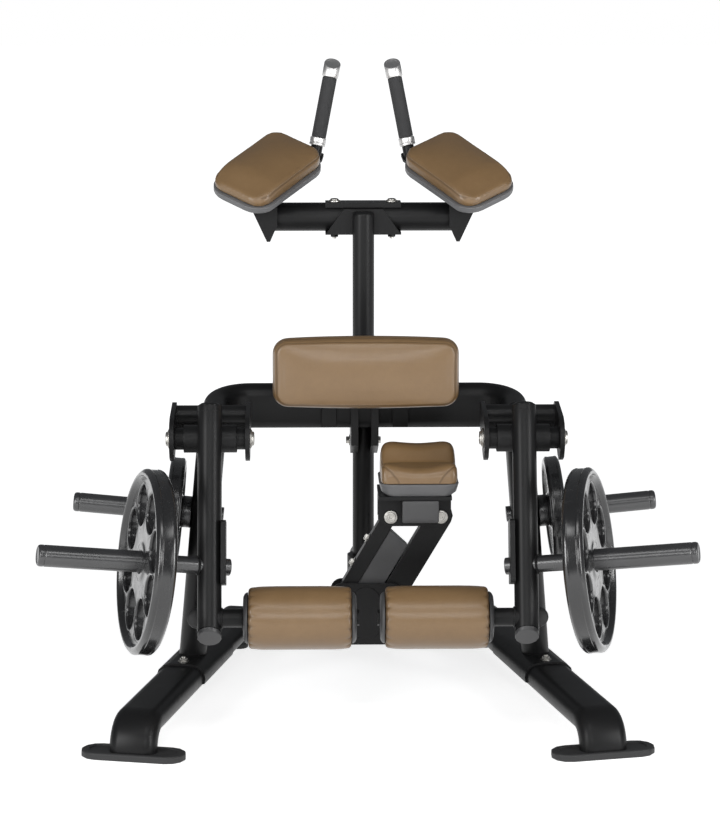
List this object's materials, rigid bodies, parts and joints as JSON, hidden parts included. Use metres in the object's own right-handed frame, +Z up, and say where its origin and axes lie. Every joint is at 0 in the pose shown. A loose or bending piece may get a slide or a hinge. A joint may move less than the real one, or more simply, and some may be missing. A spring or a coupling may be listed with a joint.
{
  "type": "kneeling hamstring machine",
  "caption": "Plate-loaded kneeling leg curl machine with swing arms and foam rollers, thigh pad, elbow rests with handles, and a knee rest that swings to either side.",
  "frame": {"origin": "middle of the footprint, on the floor", "axes": "+Z up, +Y from the roller side towards the elbow rests, +X to the right seen from the roller side"},
  "size_m": [1.5364, 1.2018, 1.5808],
  "materials": {
    "black_paint": "satin black powder coat",
    "rubber": "matt dark grey rubber",
    "plate_rubber": "glossy black rubber coating",
    "grey_plastic": "satin grey plastic",
    "upholstery": "tan upholstery with a soft sheen and sewn seams",
    "foam_grip": "fine textured foam",
    "chrome": "polished chrome",
    "zinc": "zinc-plated steel"
  },
  "bodies": {
    "frame": {"rail_left": "black_paint", "rail_right": "black_paint", "front_foot_left": "rubber", "front_foot_right": "rubber", "rear_foot_left": "rubber", "rear_foot_right": "rubber", "rear_cross_tube": "black_paint", "spine": "black_paint", "column": "black_paint", "thigh_bow": "black_paint", "pivot_bracket_left": "black_paint", "pivot_bracket_right": "black_paint", "pivot_shaft_left": "zinc", "pivot_shaft_right": "zinc", "column_clamp": "black_paint", "side_frame_left": "black_paint", "side_frame_right": "black_paint", "bumper_left": "rubber", "bumper_right": "rubber", "storage_horn_left": "black_paint", "storage_horn_right": "black_paint", "thigh_pad": "upholstery", "thigh_board": "black_paint", "knee_base": "black_paint", "knee_pin_lower_left": "zinc", "knee_pin_lower_right": "zinc", "elbow_bar": "black_paint", "elbow_bar_cap": "black_paint", "elbow_pad_left": "upholstery", "elbow_pad_right": "upholstery", "elbow_tray_left": "grey_plastic", "elbow_tray_right": "grey_plastic", "elbow_bracket_left": "black_paint", "elbow_bracket_right": "black_paint", "handle_left": "chrome", "handle_right": "chrome", "grip_left": "foam_grip", "grip_right": "foam_grip"},
    "arm_left": {"swing_arm_left": "black_paint", "working_horn_left": "black_paint", "arm_cap_left": "grey_plastic"},
    "arm_right": {"swing_arm_right": "black_paint", "working_horn_right": "black_paint", "arm_cap_right": "grey_plastic"},
    "roller_left": {"roller_core_left": "grey_plastic", "roller_pad_left": "upholstery"},
    "roller_right": {"roller_core_right": "grey_plastic", "roller_pad_right": "upholstery"},
    "work_plate_left": {"working_plate_left": "plate_rubber"},
    "work_plate_right": {"working_plate_right": "plate_rubber"},
    "store_plate_left": {"storage_plate_left": "plate_rubber"},
    "store_plate_right": {"storage_plate_right": "plate_rubber"},
    "knee_left_link": {"knee_link_left": "black_paint", "knee_stop_block": "grey_plastic"},
    "knee_right_link": {"knee_link_right": "black_paint"},
    "knee_rest": {"knee_carriage": "black_paint", "knee_tray": "grey_plastic", "knee_pad": "upholstery", "knee_pin_upper_left": "zinc", "knee_pin_upper_right": "zinc"}
  },
  "joints": [
    {"name": "arm_swing_left", "type": "hinge", "parent": "frame", "child": "arm_left", "pos_m": [-0.371, -0.2131, 0.715], "axis": [-1, 0, 0], "range_deg": [0, 105]},
    {"name": "roller_spin_left", "type": "hinge", "parent": "arm_left", "child": "roller_left", "pos_m": [-0.1597, -0.3853, 0.3209], "axis": [1, 0, 0], "continuous": true},
    {"name": "work_plate_slide_left", "type": "slide", "parent": "arm_left", "child": "work_plate_left", "axis": [-0.9581, -0.2567, 0.1271], "range_m": [0, 0.23]},
    {"name": "store_plate_slide_left", "type": "slide", "parent": "frame", "child": "store_plate_left", "axis": [-0.9954, 0, 0.0958], "range_m": [0, 0.228]},
    {"name": "arm_swing_right", "type": "hinge", "parent": "frame", "child": "arm_right", "pos_m": [0.371, -0.2131, 0.715], "axis": [-1, 0, 0], "range_deg": [0, 105]},
    {"name": "roller_spin_right", "type": "hinge", "parent": "arm_right", "child": "roller_right", "pos_m": [0.1597, -0.3853, 0.3209], "axis": [1, 0, 0], "continuous": true},
    {"name": "work_plate_slide_right", "type": "slide", "parent": "arm_right", "child": "work_plate_right", "axis": [0.9581, -0.2567, 0.1271], "range_m": [0, 0.23]},
    {"name": "store_plate_slide_right", "type": "slide", "parent": "frame", "child": "store_plate_right", "axis": [0.9954, 0, 0.0958], "range_m": [0, 0.228]},
    {"name": "knee_swing", "type": "hinge", "parent": "frame", "child": "knee_left_link", "pos_m": [-0.0603, -0.1311, 0.311], "axis": [0, -1, 0], "range_deg": [0, 61.2]},
    {"name": "knee_level", "type": "hinge", "parent": "knee_left_link", "child": "knee_rest", "pos_m": [0.0588, -0.1311, 0.5124], "axis": [0, -1, 0], "range_deg": [-61.2, 0]},
    {"name": "knee_follow", "type": "hinge", "parent": "frame", "child": "knee_right_link", "pos_m": [0.0609, -0.1311, 0.311], "axis": [0, -1, 0], "range_deg": [0, 61.2]}
  ],
  "couplings": [
    {"joint": "knee_level", "follows": "knee_swing", "ratio": -1},
    {"joint": "knee_follow", "follows": "knee_swing", "ratio": 1}
  ]
}
